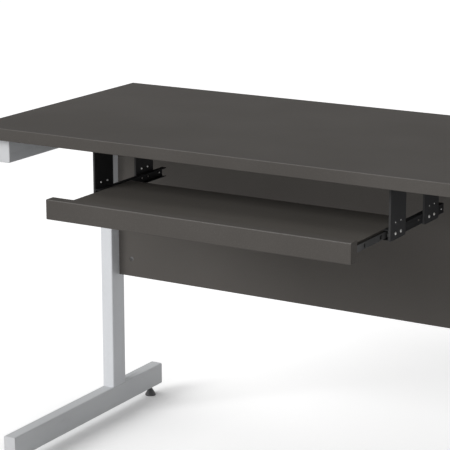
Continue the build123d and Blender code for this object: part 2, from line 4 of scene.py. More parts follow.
import bpy
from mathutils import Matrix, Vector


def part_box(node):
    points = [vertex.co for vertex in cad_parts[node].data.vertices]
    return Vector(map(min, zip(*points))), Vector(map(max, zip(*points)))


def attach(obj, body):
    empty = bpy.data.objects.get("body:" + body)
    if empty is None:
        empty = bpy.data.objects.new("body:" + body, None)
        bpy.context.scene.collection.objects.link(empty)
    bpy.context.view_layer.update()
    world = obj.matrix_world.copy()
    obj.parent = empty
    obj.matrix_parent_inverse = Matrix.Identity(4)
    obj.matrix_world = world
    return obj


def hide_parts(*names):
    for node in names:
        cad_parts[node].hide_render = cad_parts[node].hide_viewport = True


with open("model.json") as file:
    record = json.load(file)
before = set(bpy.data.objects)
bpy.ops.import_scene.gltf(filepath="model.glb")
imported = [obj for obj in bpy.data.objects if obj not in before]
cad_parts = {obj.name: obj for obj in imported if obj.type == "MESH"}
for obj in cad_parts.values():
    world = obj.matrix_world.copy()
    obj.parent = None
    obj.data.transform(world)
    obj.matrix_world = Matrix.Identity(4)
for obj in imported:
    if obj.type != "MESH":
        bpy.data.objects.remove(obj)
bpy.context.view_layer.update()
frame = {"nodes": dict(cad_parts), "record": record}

mm = 0.001


# node graphs: one class for a socket, one for a tree, and one for each kind of tree

class Wire:  # a socket that takes part in arithmetic
    def __init__(self, graph, socket):
        self.graph = graph
        self.socket = socket

    def also(self, output):  # another output of the same node
        return Wire(self.graph, self.socket.node.outputs[output])

    def __add__(self, other):
        return self.graph.maths("ADD", self, other)

    def __radd__(self, other):
        return self.graph.maths("ADD", other, self)

    def __sub__(self, other):
        return self.graph.maths("SUBTRACT", self, other)

    def __rsub__(self, other):
        return self.graph.maths("SUBTRACT", other, self)

    def __mul__(self, other):
        return self.graph.maths("MULTIPLY", self, other)

    def __rmul__(self, other):
        return self.graph.maths("MULTIPLY", other, self)

    def __truediv__(self, other):
        return self.graph.maths("DIVIDE", self, other)

    def __rtruediv__(self, other):
        return self.graph.maths("DIVIDE", other, self)

    def __pow__(self, other):
        return self.graph.maths("POWER", self, other)


class Graph:
    def __init__(self, tree):
        self.tree = tree
        self.tree.nodes.clear()

    def node(self, kind, settings=None, sockets=None, output=0):
        made = self.tree.nodes.new(kind)
        for name, value in (settings or {}).items():
            setattr(made, name, value)
        for name, value in (sockets or {}).items():
            self.plug(made.inputs[name], value)
        return Wire(self, made.outputs[output]) if made.outputs else None

    def plug(self, socket, value):
        if isinstance(value, Wire):
            self.tree.links.new(value.socket, socket)
        elif isinstance(value, list):  # a socket that takes many links
            for wire in value:
                self.tree.links.new(wire.socket, socket)
        else:
            socket.default_value = value

    def maths(self, operation, first, second=0.0):
        return self.node("ShaderNodeMath", {"operation": operation}, {0: first, 1: second})

    def lesser(self, first, second):
        return self.maths("MINIMUM", first, second)

    def greater(self, first, second):
        return self.maths("MAXIMUM", first, second)

    def axes(self, vector):
        along = self.node("ShaderNodeSeparateXYZ", {}, {"Vector": vector})
        return along, along.also("Y"), along.also("Z")

    def vector(self, x=0.0, y=0.0, z=0.0):
        return self.node("ShaderNodeCombineXYZ", {}, {"X": x, "Y": y, "Z": z})

    def seen(self):  # 1 for what the camera sees directly, mirrored or through glass
        ray = self.node("ShaderNodeLightPath", output="Is Camera Ray")
        return self.greater(self.greater(ray, ray.also("Is Glossy Ray")), ray.also("Is Transmission Ray"))


class Finish(Graph):
    def __init__(self, name):
        self.material = bpy.data.materials.new(name)
        self.material.use_nodes = True
        super().__init__(self.material.node_tree)

    def spot(self):  # where a point lies on the piece, in metres
        return self.node("ShaderNodeTexCoord", output="Object")

    def noise(self, scale, detail, stretch=(1, 1, 1)):
        place = self.node("ShaderNodeMapping", {}, {"Vector": self.spot(), "Scale": stretch})
        return self.node("ShaderNodeTexNoise", {}, {"Vector": place, "Scale": scale, "Detail": detail})

    def spread(self, value, low, high, start=0.0, end=1.0):
        sockets = {"Value": value, 1: low, 2: high, 3: start, 4: end}
        return self.node("ShaderNodeMapRange", {"interpolation_type": "SMOOTHSTEP"}, sockets)

    def between(self, factor, first, second):
        sockets = {0: factor, 6: first, 7: second}  # 6, 7 and output 2 are the node's colours
        return self.node("ShaderNodeMix", {"data_type": "RGBA"}, sockets, 2)

    def bump(self, height, depth, strength):
        sockets = {"Strength": strength, "Distance": depth, "Height": height}
        return self.node("ShaderNodeBump", {}, sockets)

    def arris(self, box):  # how far a point on a board's surface is from the nearest edge
        gaps = []
        for low, high, place in zip(*box, self.axes(self.spot())):
            gaps.append(self.lesser(place - low, high - place))
        nearer = self.lesser(gaps[0], gaps[1])
        farther = self.greater(gaps[0], gaps[1])
        return self.greater(nearer, self.lesser(farther, gaps[2]))

    def facing(self, axis):  # how squarely a surface faces along an axis: 1, or -1 the other way
        return self.axes(self.node("ShaderNodeNewGeometry", output="True Normal"))[axis]

    def either(self, axis):  # the same, whichever way it faces
        return self.maths("ABSOLUTE", self.facing(axis))

    def surface(self, sockets):
        return self.show(self.node("ShaderNodeBsdfPrincipled", {}, sockets))

    def show(self, shader):
        self.node("ShaderNodeOutputMaterial", {}, {"Surface": shader})
        return self.material


socketKinds = {float: "NodeSocketFloat", int: "NodeSocketInt", bool: "NodeSocketBool"}
sharpAngle = math.radians(38)  # edges sharper than this aren't shaded smooth


class Recipe(Graph):  # a geometry tree with named inputs
    def __init__(self, name, inputs):
        super().__init__(bpy.data.node_groups.new(name, "GeometryNodeTree"))
        face = self.tree.interface
        face.new_socket("Geometry", in_out="INPUT", socket_type="NodeSocketGeometry")
        for label, start in inputs.items():
            face.new_socket(label, in_out="INPUT", socket_type=socketKinds[type(start)]).default_value = start
        face.new_socket("Finish", in_out="INPUT", socket_type="NodeSocketMaterial")
        face.new_socket("Geometry", in_out="OUTPUT", socket_type="NodeSocketGeometry")
        self.entry = self.node("NodeGroupInput")

    def given(self, label):
        return self.entry.also(label)

    def moved(self, shape, shift):
        return self.node("GeometryNodeTransform", {}, {"Geometry": shape, "Translation": shift})

    def onPoints(self, shape, rotation=(0, 0, 0)):
        sockets = {"Points": self.given("Geometry"), "Instance": shape, "Rotation": rotation}
        return self.node("GeometryNodeInstanceOnPoints", {}, sockets)

    def close(self, shape):
        real = self.node("GeometryNodeRealizeInstances", {}, {"Geometry": shape})
        sockets = {"Geometry": real, "Material": self.given("Finish")}
        dressed = self.node("GeometryNodeSetMaterial", {}, sockets)
        self.node("NodeGroupOutput", {}, {"Geometry": dressed})
        return self

    def grow(self, name, base, values):  # runs the tree on a base mesh and keeps the result as a plain mesh
        carrier = bpy.data.objects.new(name + "Base", base)
        bpy.context.scene.collection.objects.link(carrier)
        modifier = carrier.modifiers.new("recipe", "NODES")
        modifier.node_group = self.tree
        for item in self.tree.interface.items_tree:
            if item.in_out == "INPUT" and item.name in values:
                modifier[item.identifier] = values[item.name]
        graph = bpy.context.evaluated_depsgraph_get()
        mesh = bpy.data.meshes.new_from_object(carrier.evaluated_get(graph), depsgraph=graph)
        carrier.modifiers.remove(modifier)
        bpy.data.objects.remove(carrier)
        mesh.name = name
        mesh.shade_smooth()
        mesh.set_sharp_from_angle(angle=sharpAngle)
        piece = bpy.data.objects.new(name, mesh)
        bpy.context.scene.collection.objects.link(piece)
        return piece


# finishes: a noise is its scale, detail and stretch, and a band is where its mask starts and ends

def tone(red, green, blue):  # a screen colour, 0 to 255, as the renderer's linear colour
    linear = []
    for level in (red, green, blue):
        share = level / 255
        linear.append(share / 12.92 if share <= 0.04045 else ((share + 0.055) / 1.055) ** 2.4)
    return (*linear, 1.0)


boardLook = {
    "colour": tone(76, 73, 70), "fleck": tone(86, 83, 80), "pore": tone(66, 63, 60),
    "fleckNoise": (620.0, 3.0), "fleckBand": (0.50, 0.72), "fleckShare": 0.55,
    "poreNoise": (1500.0, 2.0), "poreBand": (0.56, 0.74), "poreShare": 0.6,
    "cloudNoise": (4.0, 2.0), "cloudBand": (0.3, 0.7), "cloudShare": 0.25,
    # arris: the lighter tone of the upper edges, partly wear and partly a painted highlight from above
    "arris": tone(118, 115, 112), "arrisWidth": 3.0 * mm, "arrisShare": 0.12, "arrisShine": 0.06,
    "arrisPatches": (0.2, 0.6, 0.5, 1.0), "highlightFacing": (0.1, 0.7),
    "relief": 0.05 * mm, "reliefShare": 0.5, "roughness": 0.60, "sheenChange": 0.08, "gloss": 0.03,
    "polish": 1.0, "polishRoughness": 0.2,
}
# the edging, rail, panel and tray are copies of one melamine in other tones, set for the light each piece
# gets: painted light and shade, the shaded panel and tray lifted most
edgeLook = {
    **boardLook, "colour": tone(88, 85, 82), "fleck": tone(97, 94, 91), "roughness": 0.54, "polish": 0.5,
}
railLook = {**boardLook, "colour": tone(86, 83, 80), "fleck": tone(96, 93, 90)}
panelLook = {**boardLook, "colour": tone(91, 88, 85), "fleck": tone(101, 98, 95), "pore": tone(79, 76, 73)}
trayLook = {**boardLook, "colour": tone(89, 86, 82), "fleck": tone(99, 96, 92), "pore": tone(77, 74, 70)}


def melamine(name, look, box):  # printed paper: fine flecks and pores; its upper edges are lighter, partly from wear and partly a painted highlight
    finish = Finish(name)
    fleck = finish.noise(*look["fleckNoise"])
    pore = finish.noise(*look["poreNoise"])
    cloud = finish.noise(*look["cloudNoise"])
    wearAndHighlight = finish.spread(finish.arris(box), 0.0, look["arrisWidth"], 1.0, 0.0)
    wearAndHighlight = wearAndHighlight * finish.spread(fleck, *look["arrisPatches"])
    wearAndHighlight = wearAndHighlight * finish.spread(finish.facing(2), *look["highlightFacing"])
    flecked = finish.spread(fleck, *look["fleckBand"]) * look["fleckShare"]
    ground = finish.between(flecked, look["colour"], look["fleck"])
    pored = finish.spread(pore, *look["poreBand"]) * look["poreShare"]
    ground = finish.between(pored, ground, look["pore"])
    clouded = finish.spread(cloud, *look["cloudBand"]) * look["cloudShare"]
    ground = finish.between(clouded, ground, look["pore"])
    # upper edges lighter: partly wear, partly a painted highlight
    ground = finish.between(wearAndHighlight * look["arrisShare"], ground, look["arris"])
    rough = look["roughness"] + (cloud + pore - 1.0) * look["sheenChange"] - wearAndHighlight * look["arrisShine"]
    normal = finish.bump((fleck + pore) / 2, look["relief"], look["reliefShare"])
    return finish.surface({
        "Base Color": ground, "Roughness": rough, "Specular IOR Level": look["gloss"], "Normal": normal,
        "Coat Weight": wearAndHighlight * look["polish"], "Coat Roughness": look["polishRoughness"],
    })


paintLook = {
    "colour": tone(216, 218, 221), "flake": tone(236, 238, 241), "shade": tone(200, 202, 206),
    "flakeNoise": (2600.0, 1.0), "flakeBand": (0.55, 0.75), "flakeSheen": 0.06,
    "cloudNoise": (6.0, 3.0), "cloudBand": (0.35, 0.75), "cloudShare": 0.35, "cloudSheen": 0.10,
    "scuff": tone(150, 150, 151), "scuffNoise": (60.0, 5.0, (1, 0.12, 1)), "scuffBand": (0.60, 0.74),
    "scuffPatches": (0.45, 0.65), "scuffed": 0.12, "scuffSheen": 0.15,
    "peelNoise": (420.0, 2.0), "relief": 0.03 * mm, "reliefShare": 0.6,
    "roughness": 0.42, "metallic": 0.10, "gloss": 0.15,
}
# the feet get a darker copy of the frame's paint: painted shade for their place low by the floor
footLook = {**paintLook, "colour": tone(209, 211, 213), "flake": tone(229, 231, 233), "scuffed": 0.25}


def silverPaint(name, look):  # powder coat: bright flakes, a faint orange peel and shoe scuffs
    finish = Finish(name)
    flake = finish.noise(*look["flakeNoise"])
    peel = finish.noise(*look["peelNoise"])
    cloud = finish.noise(*look["cloudNoise"])
    scuff = finish.noise(*look["scuffNoise"])
    scuff = finish.spread(scuff, *look["scuffBand"]) * finish.spread(cloud, *look["scuffPatches"])
    scuff = scuff * look["scuffed"]
    colour = finish.between(finish.spread(flake, *look["flakeBand"]), look["colour"], look["flake"])
    clouded = finish.spread(cloud, *look["cloudBand"]) * look["cloudShare"]
    colour = finish.between(clouded, colour, look["shade"])
    colour = finish.between(scuff, colour, look["scuff"])
    rough = look["roughness"] + (cloud - 0.5) * look["cloudSheen"] + (flake - 0.5) * look["flakeSheen"]
    rough = rough + scuff * look["scuffSheen"]
    normal = finish.bump(peel, look["relief"], look["reliefShare"])
    return finish.surface({
        "Base Color": colour, "Roughness": rough, "Metallic": look["metallic"],
        "Specular IOR Level": look["gloss"], "Normal": normal,
    })


capLook = {
    "colour": tone(203, 204, 206), "mark": tone(186, 187, 190),
    "grainNoise": (900.0, 3.0), "grainSheen": 0.14,
    "cloudNoise": (30.0, 3.0), "cloudBand": (0.35, 0.75), "cloudShare": 0.5, "cloudSheen": 0.08,
    "relief": 0.04 * mm, "reliefShare": 0.6, "roughness": 0.48,
}
glideLook = {**capLook, "colour": tone(66, 66, 67), "mark": tone(52, 52, 53), "roughness": 0.5}


def mouldedPlastic(name, look):  # spark-eroded grain with uneven gloss
    finish = Finish(name)
    grain = finish.noise(*look["grainNoise"])
    cloud = finish.noise(*look["cloudNoise"])
    clouded = finish.spread(cloud, *look["cloudBand"]) * look["cloudShare"]
    colour = finish.between(clouded, look["colour"], look["mark"])
    rough = look["roughness"] + (grain - 0.5) * look["grainSheen"] + (cloud - 0.5) * look["cloudSheen"]
    normal = finish.bump(grain, look["relief"], look["reliefShare"])
    return finish.surface({"Base Color": colour, "Roughness": rough, "Normal": normal})


blackLook = {
    # paintedShade: the tone of the painted shade on faces that face up or down
    "colour": tone(56, 56, 57), "dust": tone(68, 68, 68), "cut": tone(69, 69, 69), "paintedShade": tone(40, 40, 41),
    "dustNoise": (14.0, 4.0), "dustBand": (0.45, 0.8), "dustShare": 0.4, "dustSheen": 0.16,
    "cutNoise": (500.0, 2.0), "cutFacing": (0.75, 0.95), "cutPatches": (0.25, 0.75, 0.5, 1.0),
    "paintedShadeFacing": (0.4, 0.8), "paintedShadeShare": 0.9, "grainNoise": (1100.0, 2.0), "grainSheen": 0.1,
    "relief": 0.03 * mm, "reliefShare": 0.6, "roughness": 0.5, "gloss": 0.03,
}
channelLook = {**blackLook, "colour": tone(45, 45, 46), "dust": tone(54, 54, 54)}
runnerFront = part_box("left_slide_inner")[0][1]
runnerLook = {
    **blackLook, "colour": tone(95, 95, 96), "dust": tone(106, 106, 106), "cut": tone(110, 110, 110),
    "paintedShade": tone(30, 29, 27),
    # painted shadow along the runner, from its front end back
    "paintedShadowBand": (runnerFront + 8 * mm, runnerFront + 70 * mm), "paintedShadowShare": 0.52,
}


def satinCoat(name, look):  # satin coat on pressed steel: dust, lighter cut edges, and painted shade on the faces that face up or down
    finish = Finish(name)
    grain = finish.noise(*look["grainNoise"])
    dust = finish.noise(*look["dustNoise"])
    shear = finish.noise(*look["cutNoise"])
    cut = finish.spread(finish.either(1), *look["cutFacing"]) * finish.spread(shear, *look["cutPatches"])
    # painted shade on every face that faces up or down
    paintedShade = finish.spread(finish.either(2), *look["paintedShadeFacing"]) * look["paintedShadeShare"]
    dusty = finish.spread(dust, *look["dustBand"]) * look["dustShare"]
    colour = finish.between(dusty, look["colour"], look["dust"])
    colour = finish.between(cut, colour, look["cut"])
    colour = finish.between(paintedShade, colour, look["paintedShade"])
    if "paintedShadowBand" in look:  # painted shadow: darker behind the front end, where the bracket and the outer channel shade it
        behind = finish.spread(finish.axes(finish.spot())[1], *look["paintedShadowBand"])
        colour = finish.between(behind * look["paintedShadowShare"], colour, look["paintedShade"])
    rough = look["roughness"] + (dust - 0.5) * look["dustSheen"] + (grain - 0.5) * look["grainSheen"]
    normal = finish.bump(grain, look["relief"], look["reliefShare"])
    return finish.surface({
        "Base Color": colour, "Roughness": rough, "Specular IOR Level": look["gloss"], "Normal": normal,
    })


zincLook = {
    "colour": tone(190, 190, 188), "tint": tone(174, 172, 166),
    "tintNoise": (120.0, 2.0), "tintBand": (0.4, 0.7), "tintShare": 0.6,
    "brushNoise": (900.0, 2.0, (1, 6, 1)), "brushSheen": 0.2,
    "relief": 0.015 * mm, "reliefShare": 0.5, "roughness": 0.50,
}
# the rivet heads on the brackets' shaded inner faces get a near-white copy of the zinc, brighter than their
# tails: painted light
rivetLook = {**zincLook, "colour": tone(240, 240, 239), "tint": tone(228, 227, 223)}
stemLook = {**zincLook, "colour": tone(108, 108, 109), "tint": tone(88, 86, 82), "roughness": 0.42}
cageLook = {**zincLook, "colour": tone(150, 150, 152), "tint": tone(132, 130, 126), "roughness": 0.38}
ballLook = {**zincLook, "colour": tone(222, 223, 225), "tint": tone(206, 208, 212), "roughness": 0.14}


def platedSteel(name, look):  # plated metal: drawn lines and a faint passivation tint
    finish = Finish(name)
    brush = finish.noise(*look["brushNoise"])
    tint = finish.noise(*look["tintNoise"])
    tinted = finish.spread(tint, *look["tintBand"]) * look["tintShare"]
    colour = finish.between(tinted, look["colour"], look["tint"])
    rough = look["roughness"] + (brush - 0.5) * look["brushSheen"]
    normal = finish.bump(brush, look["relief"], look["reliefShare"])
    return finish.surface({"Base Color": colour, "Roughness": rough, "Metallic": 1.0, "Normal": normal})


beechLook = {
    "colour": tone(206, 172, 128), "ray": tone(170, 128, 84),
    "rayNoise": (220.0, 4.0, (1, 0.08, 1)), "rayBand": (0.45, 0.7), "raySheen": 0.2,
    "relief": 0.05 * mm, "reliefShare": 0.6, "roughness": 0.62,
}


def rawBeech(name, look):  # short dark rays along the grain
    finish = Finish(name)
    ray = finish.noise(*look["rayNoise"])
    colour = finish.between(finish.spread(ray, *look["rayBand"]), look["colour"], look["ray"])
    rough = look["roughness"] + (ray - 0.5) * look["raySheen"]
    normal = finish.bump(ray, look["relief"], look["reliefShare"])
    return finish.surface({"Base Color": colour, "Roughness": rough, "Normal": normal})


def wholeBox(*names):  # the box round several nodes
    boxes = [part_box(name) for name in names]
    low = [min(box[0][axis] for box in boxes) for axis in range(3)]
    high = [max(box[1][axis] for box in boxes) for axis in range(3)]
    return low, high


def dress(material, *names):
    for name in names:
        slots = frame["nodes"][name].data.materials
        slots.clear()
        slots.append(material)


slotFinishes = {
    "silver_plastic": mouldedPlastic("capPlastic", capLook),
    "black_steel": satinCoat("blackCoat", blackLook),
    "grey_steel": satinCoat("runnerCoat", runnerLook),
    "cage_steel": platedSteel("cageSteel", cageLook),
    "ball_steel": platedSteel("ballSteel", ballLook),
    "black_plastic": mouldedPlastic("glidePlastic", glideLook),
    "dark_steel": platedSteel("stemSteel", stemLook),
    "zinc_steel": platedSteel("zincPlate", zincLook),
    "beech": rawBeech("rawBeech", beechLook),
}
for entry in frame["record"]["subparts"]:
    if entry["material_slot"] in slotFinishes:
        dress(slotFinishes[entry["material_slot"]], entry["node"])

sides = ("left", "right")
ends = ("front", "rear")
topStrips = [f"desktop_{side}_edge" for side in (*ends, *sides)]
topBox = wholeBox("desktop_board", *topStrips)
panelBox = wholeBox("modesty_panel", "panel_bottom_edge")
trayBox = wholeBox("tray_board", "tray_rear_edge")
railBox = wholeBox("tray_front_rail")
dress(melamine("desktopFace", boardLook, topBox), "desktop_board")
dress(melamine("desktopEdging", edgeLook, topBox), *topStrips)
dress(melamine("panelFace", panelLook, panelBox), "modesty_panel")
dress(melamine("panelEdging", edgeLook, panelBox), "panel_bottom_edge")
dress(melamine("trayFace", trayLook, trayBox), "tray_board")
dress(melamine("trayEdging", edgeLook, trayBox), "tray_rear_edge")
dress(melamine("railFace", railLook, railBox), "tray_front_rail")
dress(satinCoat("channelCoat", channelLook), *[f"{side}_slide_outer" for side in sides])
framePaint = silverPaint("framePaint", paintLook)
dress(framePaint, *[f"{side}_{tube}" for side in sides for tube in ("upright", "top_arm")])
dress(silverPaint("footPaint", footLook), *[f"{side}_foot" for side in sides])
print("finishes:", len(bpy.data.materials))


# screws, bolts, rivets, barrel nuts and cams

fixingMesh = {"headSides": 40, "headRings": 6, "shankSides": 24}


def fixingRecipe(faces):
    recipe = Recipe("fixing", {
        "Head Diameter": 7 * mm, "Head Height": 2 * mm, "Crown": 1 * mm,
        "Shank Diameter": 4 * mm, "Shank Length": 5 * mm,
        "Recess Length": 4 * mm, "Recess Width": 1 * mm, "Recess Depth": 1 * mm,
        "Hex Socket": False, "Seed": 3,
    })
    given = recipe.given
    radius = given("Head Diameter") / 2
    rim = given("Head Height") - given("Crown")
    disc = recipe.node("GeometryNodeMeshCylinder", {"fill_type": "TRIANGLE_FAN"}, {
        "Vertices": faces["headSides"], "Fill Segments": faces["headRings"], "Radius": radius, "Depth": rim,
    })
    x, y, z = recipe.axes(recipe.node("GeometryNodeInputPosition"))
    upper = recipe.maths("GREATER_THAN", z, 0.0)
    dome = 1 - (x * x + y * y) / (radius * radius)
    lift = recipe.vector(z=rim / 2 + upper * dome * given("Crown"))
    head = recipe.node("GeometryNodeSetPosition", {}, {"Geometry": disc, "Offset": lift})

    depth = given("Recess Depth") * 2  # the cutter stands half out of the head
    length = given("Recess Length")
    width = given("Recess Width")
    wings = [
        recipe.node("GeometryNodeMeshCube", {}, {"Size": recipe.vector(length, width, depth)}),
        recipe.node("GeometryNodeMeshCube", {}, {"Size": recipe.vector(width, length, depth)}),
    ]
    cross = recipe.node("GeometryNodeJoinGeometry", {}, {"Geometry": wings})
    hexagon = recipe.node("GeometryNodeMeshCylinder", {}, {
        "Vertices": 6, "Radius": length / 2, "Depth": depth,
    })
    cutter = recipe.node("GeometryNodeSwitch", {"input_type": "GEOMETRY"}, {
        "Switch": given("Hex Socket"), "False": cross, "True": hexagon,
    })
    cutter = recipe.moved(cutter, recipe.vector(z=given("Head Height")))
    head = recipe.node("GeometryNodeMeshBoolean", {"operation": "DIFFERENCE", "solver": "EXACT"}, {
        "Mesh 1": head, "Mesh 2": cutter, "Self Intersection": True,
    })
    shank = recipe.node("GeometryNodeMeshCylinder", {}, {
        "Vertices": faces["shankSides"], "Radius": given("Shank Diameter") / 2,
        "Depth": given("Shank Length"),
    })
    shank = recipe.moved(shank, recipe.vector(z=given("Shank Length") / -2))
    whole = recipe.node("GeometryNodeJoinGeometry", {}, {"Geometry": [head, shank]})

    aim = recipe.node("GeometryNodeInputNamedAttribute", {"data_type": "FLOAT_VECTOR"}, {"Name": "aim"})
    # no two heads are turned alike: 2, 3 and output 1 are the node's plain numbers
    turn = recipe.node("FunctionNodeRandomValue", {}, {2: 0.0, 3: math.tau, "Seed": given("Seed")}, 1)
    spin = recipe.node("FunctionNodeAxisAngleToRotation", {}, {"Axis": (0, 0, 1), "Angle": turn})
    tilt = recipe.node("FunctionNodeAlignRotationToVector", {"axis": "Z"}, {"Vector": aim})
    tilt = recipe.node("FunctionNodeRotateRotation", {"rotation_space": "LOCAL"}, {
        "Rotation": tilt, "Rotate By": spin,
    })
    return recipe.close(recipe.onPoints(whole, tilt))


def aimedPoints(name, places):  # a mesh of loose points, each with the direction that its head faces
    mesh = bpy.data.meshes.new(name)
    mesh.from_pydata([point for point, aim in places], [], [])
    faced = mesh.attributes.new("aim", "FLOAT_VECTOR", "POINT")
    faced.data.foreach_set("vector", [part for point, aim in places for part in aim])
    return mesh


brackets = [f"{end}_{side}_bracket" for end in ends for side in sides]
outward = {"left": -1, "right": 1}
plate = 4 * mm  # the brackets' steel
tubeWall = 2 * mm
channelWall = 1 * mm
panelBoltMargins = (40 * mm, 96 * mm)  # from the panel's lower and upper edges
panelBoltLevels = (panelBox[0][2] + panelBoltMargins[0], panelBox[1][2] - panelBoltMargins[1])
topBoltMargin = 57 * mm  # from the end of an arm's tube
topBoltsPerArm = 3
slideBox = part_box("left_slide_outer")
slideLevel = (slideBox[0][2] + slideBox[1][2]) / 2
boltSpacing = 23 * mm  # along a bracket
rivetRise = 21 * mm  # above the bolts


def bracketPlaces(spacing):  # each bracket's side, box and the two places along it
    for name in brackets:
        low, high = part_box(name)
        middle = (low[1] + high[1]) / 2
        side = "left" if "left" in name else "right"
        for y in (middle - spacing / 2, middle + spacing / 2):
            yield outward[side], low, high, y


def slidePlaces(spacing, rise, outside):  # on the brackets' outer or inner faces, above the slides' middle
    for way, low, high, y in bracketPlaces(spacing):
        inner = high[0] if way < 0 else low[0]
        if outside:
            yield (inner + way * plate, y, slideLevel + rise), (way, 0, 0)
        else:
            yield (inner, y, slideLevel + rise), (-way, 0, 0)


def stopRivetPlaces(margin):
    for side in sides:
        low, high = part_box(f"{side}_slide_outer")
        way = outward[side]
        outer = low[0] if way < 0 else high[0]
        for x, aim in ((outer, way), (outer - way * channelWall, -way)):
            yield (x, high[1] - margin, (low[2] + high[2]) / 2), (aim, 0, 0)


def bracketScrewPlaces(spacing):
    for way, low, high, y in bracketPlaces(spacing):
        middle = (low[0] + high[0] + way * plate) / 2
        yield (middle, y, high[2] - plate), (0, 0, -1)


def panelBoltPlaces():
    for side in sides:
        low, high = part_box(f"{side}_upright")
        face = low[0] if outward[side] < 0 else high[0]
        for z in panelBoltLevels:
            yield (face, (panelBox[0][1] + panelBox[1][1]) / 2, z), (outward[side], 0, 0)


def barrelNutPlaces(inset, sunk):
    for x in (panelBox[0][0] + inset, panelBox[1][0] - inset):
        for z in panelBoltLevels:
            yield (x, panelBox[0][1] + sunk, z), (0, -1, 0)


def evenly(first, last, count):
    return [first + (last - first) * index / (count - 1) for index in range(count)]


def topBoltPlaces():
    for side in sides:
        low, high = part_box(f"{side}_top_arm")
        for y in evenly(low[1] + topBoltMargin, high[1] - topBoltMargin, topBoltsPerArm):
            yield ((low[0] + high[0]) / 2, y, high[2] - tubeWall), (0, 0, -1)


def trayScrewPlaces(front, rear, count):
    for side in sides:
        low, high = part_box(f"{side}_slide_inner")
        face = high[0] if outward[side] < 0 else low[0]
        for y in evenly(low[1] + front, high[1] - rear, count):
            yield (face + outward[side] * channelWall, y, (low[2] + high[2]) / 2), (outward[side], 0, 0)


def camPlaces(margin, inset, depth, count):
    low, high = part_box("tray_board")
    for x in evenly(low[0] + margin, high[0] - margin, count):
        yield (x, low[1] + inset, low[2] + depth), (0, 0, -1)


fixings = {  # sizes in mm; recess: length, width and depth; reach: the shank's length
    "slide_bolts": {
        "body": "desk", "slot": "zinc_steel",
        "places": slidePlaces(boltSpacing, rise=0.0, outside=True),
        "head": 6.4, "height": 2.2, "crown": 1.3, "shank": 4, "reach": 5,
        "recess": (3.6, 0.9, 1.2), "hex": False,
    },
    "bracket_rivets": {
        "body": "desk", "slot": "zinc_steel",
        "places": slidePlaces(boltSpacing, rivetRise, outside=False),
        "head": 4.4, "height": 2.0, "crown": 1.6, "shank": 2.4, "reach": 2,
        "recess": (1.0, 1.0, 0.4), "hex": True, "finish": platedSteel("rivetSteel", rivetLook),
    },
    "bracket_rivet_tails": {
        "body": "desk", "slot": "zinc_steel",
        "places": slidePlaces(boltSpacing, rivetRise, outside=True),
        "head": 2.8, "height": 0.8, "crown": 0.5, "shank": 2.4, "reach": 2,
        "recess": (0.8, 0.8, 0.3), "hex": True, "node": "bracket_rivets",
    },
    "slide_stop_rivets": {
        "body": "desk", "slot": "zinc_steel",
        "places": stopRivetPlaces(margin=11.5 * mm),
        "head": 3.6, "height": 1.0, "crown": 0.8, "shank": 2.4, "reach": 0.5,
        "recess": (1.0, 1.0, 0.4), "hex": True,
    },
    "bracket_screws": {
        "body": "desk", "slot": "zinc_steel",
        "places": bracketScrewPlaces(spacing=38 * mm),
        "head": 9, "height": 3, "crown": 1.6, "shank": 4.5, "reach": 20,
        "recess": (4.8, 1.1, 1.6), "hex": False,
    },
    "panel_bolts": {
        "body": "desk", "slot": "zinc_steel",
        "places": panelBoltPlaces(),
        "head": 10, "height": 3.2, "crown": 2.2, "shank": 6, "reach": 71,
        "recess": (4.6, 4.6, 1.8), "hex": True,
    },
    "panel_barrel_nuts": {
        "body": "desk", "slot": "dark_steel",
        "places": barrelNutPlaces(inset=34 * mm, sunk=15.5 * mm),
        "head": 10, "height": 15, "crown": 0.3, "shank": 6, "reach": 0.2,
        "recess": (7.0, 1.2, 1.4), "hex": False,
    },
    "desktop_bolts": {
        "body": "desk", "slot": "zinc_steel",
        "places": topBoltPlaces(),
        "head": 11, "height": 3.5, "crown": 2.4, "shank": 6, "reach": 17,
        "recess": (4.6, 4.6, 2.0), "hex": True,
    },
    "tray_slide_screws": {
        "body": "tray", "slot": "black_steel",
        "places": trayScrewPlaces(front=8 * mm, rear=14 * mm, count=3),
        "head": 6.6, "height": 2, "crown": 1.2, "shank": 3.5, "reach": 15,
        "recess": (3.6, 0.8, 1.1), "hex": False,
    },
    "rail_cams": {
        "body": "tray", "slot": "zinc_steel",
        "places": camPlaces(margin=90 * mm, inset=24 * mm, depth=12.5 * mm, count=3),
        "head": 15, "height": 12.5, "crown": 0.2, "shank": 6, "reach": 0.2,
        "recess": (8.0, 1.8, 3.0), "hex": False,
    },
}


def addFixings():
    recipe = fixingRecipe(fixingMesh)
    for number, (name, fixing) in enumerate(fixings.items()):
        length, width, depth = fixing["recess"]
        piece = recipe.grow(name + "Heads", aimedPoints(name, list(fixing["places"])), {
            "Head Diameter": fixing["head"] * mm, "Head Height": fixing["height"] * mm,
            "Crown": fixing["crown"] * mm, "Shank Diameter": fixing["shank"] * mm,
            "Shank Length": fixing["reach"] * mm, "Recess Length": length * mm,
            "Recess Width": width * mm, "Recess Depth": depth * mm,
            "Hex Socket": fixing["hex"], "Seed": number,
            "Finish": fixing.get("finish", slotFinishes[fixing["slot"]]),
        })
        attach(piece, fixing["body"])
        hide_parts(fixing.get("node", name))
    print("fixings:", len(fixings), "kinds")


addFixings()


# threaded stems of the glides

stemThread = {"pitch": 1.25 * mm, "depth": 0.65 * mm, "lead": 1.0 * mm, "ringsPerTurn": 10, "sides": 32}


